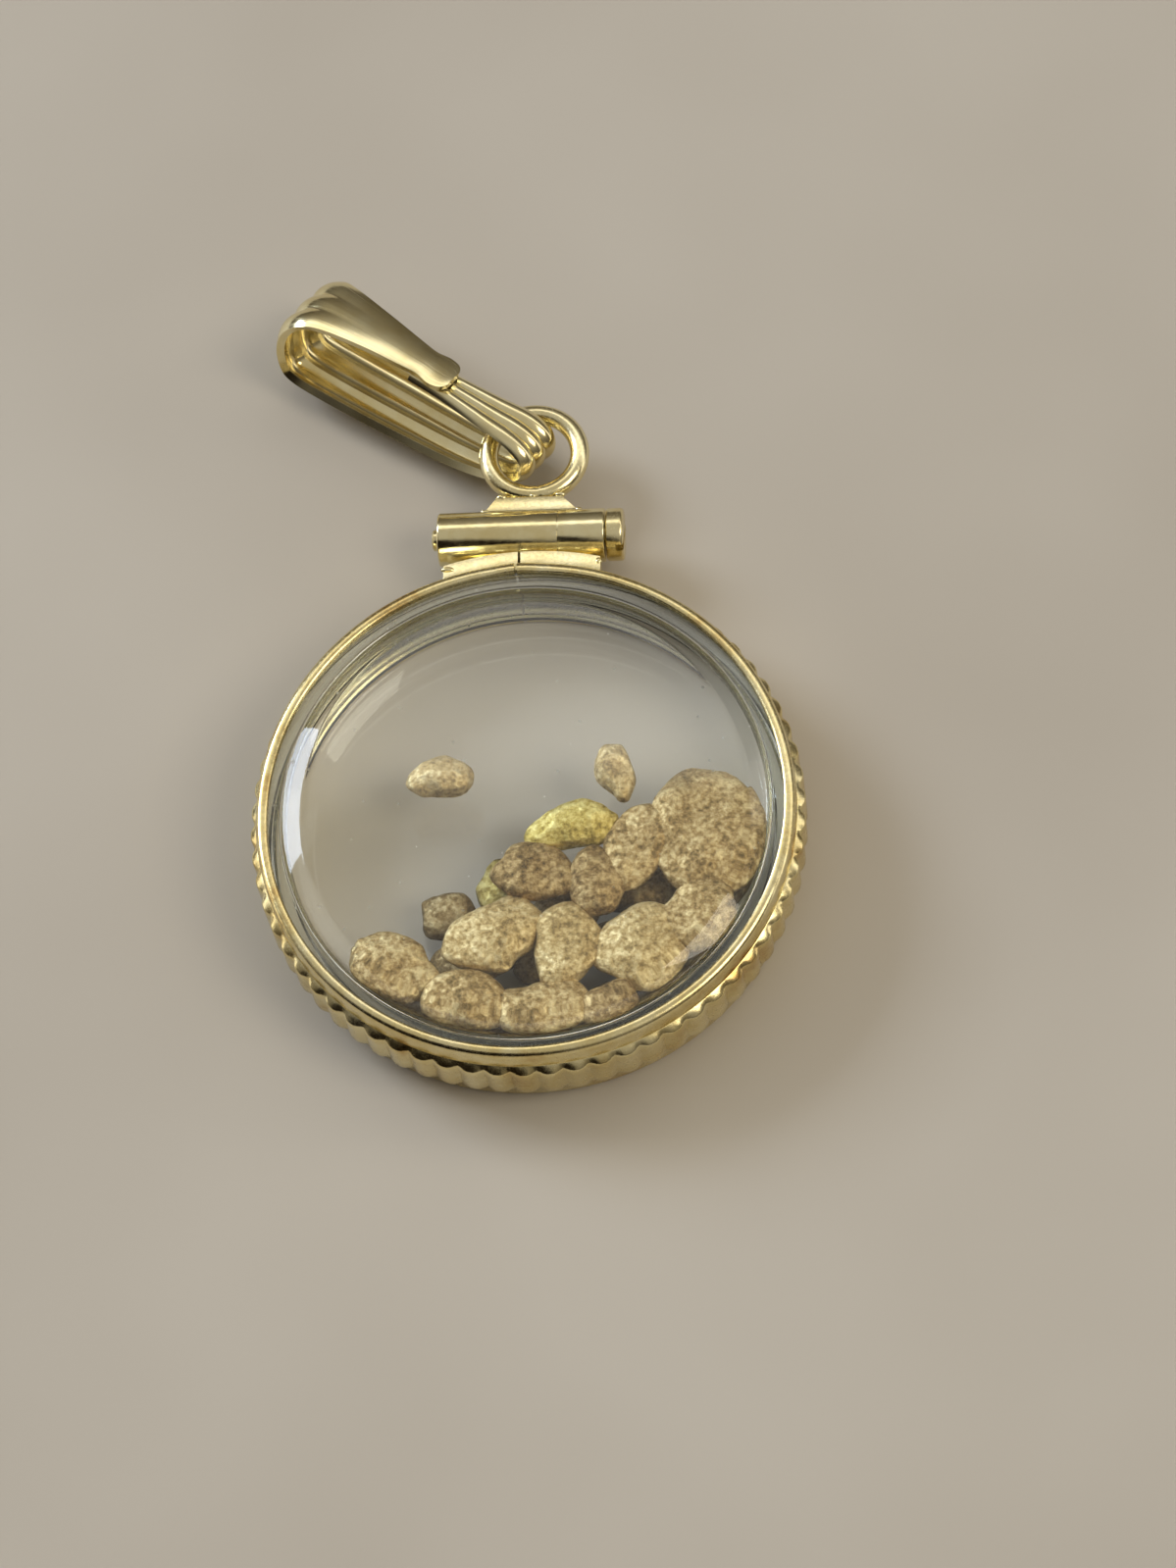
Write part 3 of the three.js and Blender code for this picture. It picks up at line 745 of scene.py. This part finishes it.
# A smooth curve through the route's places.
def alongRoute(column, share):
    last = len(bailRoute) - 1
    at = min(max(share, 0) * last, last - 1e-9)
    i = int(at)
    a, b, c, d = (bailRoute[min(max(j, 0), last)][column] for j in (i - 1, i, i + 1, i + 2))
    t = at - i
    start, end = (c - a) / 2, (d - b) / 2
    return (((2 * (b - c) + start + end) * t + 3 * (c - b) - 2 * start - end) * t + start) * t + b


def makeBail():
    across = bail["ribs"] * bail["perRib"]
    deselectAll()
    bpy.ops.mesh.primitive_grid_add(x_subdivisions=across, y_subdivisions=bail["steps"], size=2)
    piece = bpy.context.object
    piece.name = "bailStrip"
    lean = math.radians(bail["lean"])
    outwards = Vector((-math.sin(lean), math.cos(lean), 0))
    sideways = Vector((math.cos(lean), math.sin(lean), 0))
    turn = Matrix.Rotation(math.radians(bail["roll"]), 3, outwards)
    wire = outwards * ringRadius + Vector((0, ringY, midZ + bail["rise"]))
    for vert in piece.data.vertices:
        place, share = (vert.co.x + 1) / 2, (vert.co.y + 1) / 2
        ahead, behind = (Vector([alongRoute(k, share + step) for k in (0, 1)]) for step in (1e-4, -1e-4))
        tangent = (ahead - behind).normalized()
        out, front, width, flute, crown = (alongRoute(k, share) for k in range(5))
        rib = 2 * abs(math.sin(math.pi * bail["ribs"] * place)) ** 0.85 - 1
        lift = rib * bail["ribHeight"] * flute - crown * (2 * place - 1) ** 2
        out += tangent.y * lift
        front -= tangent.x * lift
        local = outwards * out + Vector((0, 0, front)) + sideways * (place - 0.5) * width
        vert.co = wire + turn @ local
    applyModifier(piece, "SOLIDIFY", thickness=bail["sheet"], offset=0, use_even_offset=True)
    editStart(piece)
    bpy.ops.mesh.normals_make_consistent(inside=False)
    editEnd()
    applyModifier(piece, "BEVEL", width=bail["edge"], segments=2, limit_method="ANGLE",
                  angle_limit=math.radians(60))
    applyModifier(piece, "SUBSURF", levels=1, render_levels=1)
    finishPiece(piece, stripGold, "bail", ["bail_strip"], 0)


makeBail()
print("bail made")

# Solder: small frozen beads where the saddles, the foot and the ring were joined.
footFront = footHigh.z
solderBeads = {
    "saddleLeftEnd": ((-3.1, 10.12, midZ + 0.56), (0.26, 0.12, 0.09)),
    "saddleRightEnd": ((2.48, 10.3, midZ + 0.52), (0.13, 0.16, 0.1)),
    "splitEnd": ((-0.42, 10.2, midZ + 0.56), (0.1, 0.1, 0.07)),
    "footLeft": ((-1.78, barrelY + 0.93, midZ + 0.34), (0.16, 0.09, 0.09)),
    "footRight": ((1.72, barrelY + 0.93, midZ + 0.34), (0.13, 0.08, 0.08)),
    "ringLeft": ((-1.18, footHigh.y + 0.03, footFront - 0.08), (0.2, 0.1, 0.12)),
    "ringMiddle": ((0.0, footHigh.y + 0.06, midZ + 0.3), (0.13, 0.08, 0.08)),
    "ringRight": ((1.02, footHigh.y + 0.08, footFront - 0.06), (0.2, 0.11, 0.12)),
}


def makeSolder():
    ripple = bpy.data.textures.new("solderRipple", "CLOUDS")
    ripple.noise_scale = 0.35
    beads = []
    for name, (place, size) in solderBeads.items():
        deselectAll()
        bpy.ops.mesh.primitive_ico_sphere_add(subdivisions=4, radius=1, location=place)
        bead = bpy.context.object
        bead.scale = size
        applyPlace(bead)
        applyModifier(bead, "DISPLACE", texture=ripple, strength=0.04, mid_level=0.5,
                      texture_coords="LOCAL")
        beads.append(bead)
    pick(beads[0])
    for bead in beads:
        bead.select_set(True)
    bpy.ops.object.join()
    piece = bpy.context.object
    piece.name = "solderBeads"
    finishPiece(piece, solder, "bezel", (), 0)


makeSolder()
print("solder made")

# Flakes: water-worn lumps with dented faces and a granular skin.
# The last three entries paint shade: flakes lying low in the pile are drawn darker.
flake = {"swell": (1.47, 1.47), "looseSwell": (1.06, 1.2), "reach": 8.78, "dentSize": 1.3, "dentDepth": 0.36,
         "grainSize": 0.3, "grainDepth": 0.05, "pitSize": 0.7, "pitDepth": 0.12,
         "paintedShadeLow": 0.0009, "paintedShadeHigh": 0.0021, "paintedShadeColour": "4A3822"}
greenish = ("flake_07", "flake_23")
shades = random.Random(4)  # which of the three shades each flake has


# Placer gold, worn by gravel: dull and granular, with bright burnished high spots and darker grains,
# and painted shade that darkens the flakes lying low in the pile.
def placerGold(name, low, middle, high):
    material, tree = startMaterial(name)
    place = addNode(tree, "ShaderNodeTexCoord").outputs["Object"]
    grains = addNode(tree, "ShaderNodeTexNoise", {"Scale": 4200.0, "Detail": 5.0, "Roughness": 0.65},
                     {"Vector": place})  # grains about 0.2 mm across
    patches = addNode(tree, "ShaderNodeTexNoise", {"Scale": 900.0, "Detail": 3.0},
                      {"Vector": place})  # patches about 1 mm across
    sparkle = addNode(tree, "ShaderNodeTexVoronoi", {"Scale": 5200.0, "Randomness": 1.0},
                      {"Vector": place})  # crystal faces about 0.2 mm across
    share = addNode(tree, "ShaderNodeMath", {"operation": "MULTIPLY", 1: 0.3}, {0: patches.outputs["Fac"]})
    amount = addNode(tree, "ShaderNodeMath", {"operation": "MULTIPLY_ADD", 1: 0.7},
                     {0: grains.outputs["Fac"], 2: share.outputs["Value"]})
    tone = addNode(tree, "ShaderNodeValToRGB", {"stops": [(0.36, low), (0.47, middle), (0.62, high)]},
                   {"Fac": amount.outputs["Value"]})
    height = addNode(tree, "ShaderNodeSeparateXYZ", None, {"Vector": place}).outputs["Z"]
    unshaded = addNode(tree, "ShaderNodeMapRange", {"From Min": flake["paintedShadeLow"], "From Max": flake["paintedShadeHigh"]},
                    {"Value": height})  # painted shade: darker towards the bottom of the pile, where the low flakes lie in shade
    paintedShadeMix = addNode(tree, "ShaderNodeMix", {"data_type": "RGBA", 6: linearColour(flake["paintedShadeColour"])},
                     {0: unshaded.outputs["Result"], 7: tone.outputs["Color"]})
    gloss = addNode(tree, "ShaderNodeMapRange",
                    {"From Min": 0.35, "From Max": 0.7, "To Min": 0.75, "To Max": 0.4},
                    {"Value": grains.outputs["Fac"]})
    relief = addNode(tree, "ShaderNodeMath", {"operation": "MULTIPLY_ADD", 1: 0.35},
                     {0: sparkle.outputs["Distance"], 2: grains.outputs["Fac"]})
    bump = addNode(tree, "ShaderNodeBump", {"Strength": 0.9, "Distance": 0.00007},
                   {"Height": relief.outputs["Value"]})
    shader = addNode(tree, "ShaderNodeBsdfPrincipled", {"Metallic": 0.85},
                     {"Base Color": paintedShadeMix.outputs[2], "Roughness": gloss.outputs["Result"],
                      "Normal": bump.outputs["Normal"]})
    addNode(tree, "ShaderNodeOutputMaterial", None, {"Surface": shader.outputs["BSDF"]})
    return material


wornFlakes = placerGold("placerGoldWorn", "77623A", "AC905C", "DDC894")
paleFlakes = placerGold("placerGoldPale", "8C764A", "BFA56E", "E8D5A2")
brownFlakes = placerGold("placerGoldBrown", "5F4C2E", "957A4C", "CBB27E")
greenFlakes = placerGold("placerGoldGreenish", "8F7C3A", "C4AE5C", "EADB90")


def cloudTexture(name, size, depth):
    texture = bpy.data.textures.new(name, "CLOUDS")
    texture.noise_scale = size
    texture.noise_depth = depth
    return texture


dents = cloudTexture("flakeDents", flake["dentSize"], 1)
grains = cloudTexture("flakeGrains", flake["grainSize"], 2)
pits = bpy.data.textures.new("flakePits", "VORONOI")
pits.noise_scale = flake["pitSize"]


def makeFlake(node, body):
    low, high = boxMm(node)
    name = "flakeLump" + node[-2:] if body == "flake_pile" else "looseFlake" + node[-1].upper()
    piece = copyNode(node, name)
    applyModifier(piece, "SUBSURF", subdivision_type="SIMPLE", levels=1, render_levels=1)
    applyModifier(piece, "SUBSURF", levels=2, render_levels=2)
    relief = ((dents, "dentDepth", 0.5), (pits, "pitDepth", 0.4), (grains, "grainDepth", 0.5))
    for texture, depth, middle in relief:
        applyModifier(piece, "DISPLACE", texture=texture, strength=flake[depth], mid_level=middle,
                      texture_coords="LOCAL")
    # back to the full size of the lump, and a little over, so that neighbours touch
    corners = [vert.co for vert in piece.data.vertices]
    nowLow, nowHigh = (Vector([pickOne(co[k] for co in corners) for k in range(3)]) for pickOne in (min, max))
    editStart(piece)
    bpy.ops.transform.translate(value=(low + high) / 2 - (nowLow + nowHigh) / 2)
    swell = (*flake["swell" if body == "flake_pile" else "looseSwell"], 1)
    grow = [(high[k] - low[k]) / (nowHigh[k] - nowLow[k]) * swell[k] for k in range(3)]
    bpy.ops.transform.resize(value=grow, center_override=(low + high) / 2)
    # and back inside the capsule's wall
    over = max(vert.co.xy.length for vert in bmesh.from_edit_mesh(piece.data).verts) - flake["reach"]
    if over > 0:
        inwards = -(low + high).xy.normalized() * over
        bpy.ops.transform.translate(value=(*inwards, 0))
    editEnd()
    shade = greenFlakes if node in greenish else shades.choice((wornFlakes, paleFlakes, brownFlakes))
    finishPiece(piece, shade, body, [node], 0)


for bodyName in ("flake_pile", "loose_flake_a", "loose_flake_b"):
    for node in frame["record"]["behaviour"]["bodies"][bodyName]:
        makeFlake(node, bodyName)
print("flakes made")
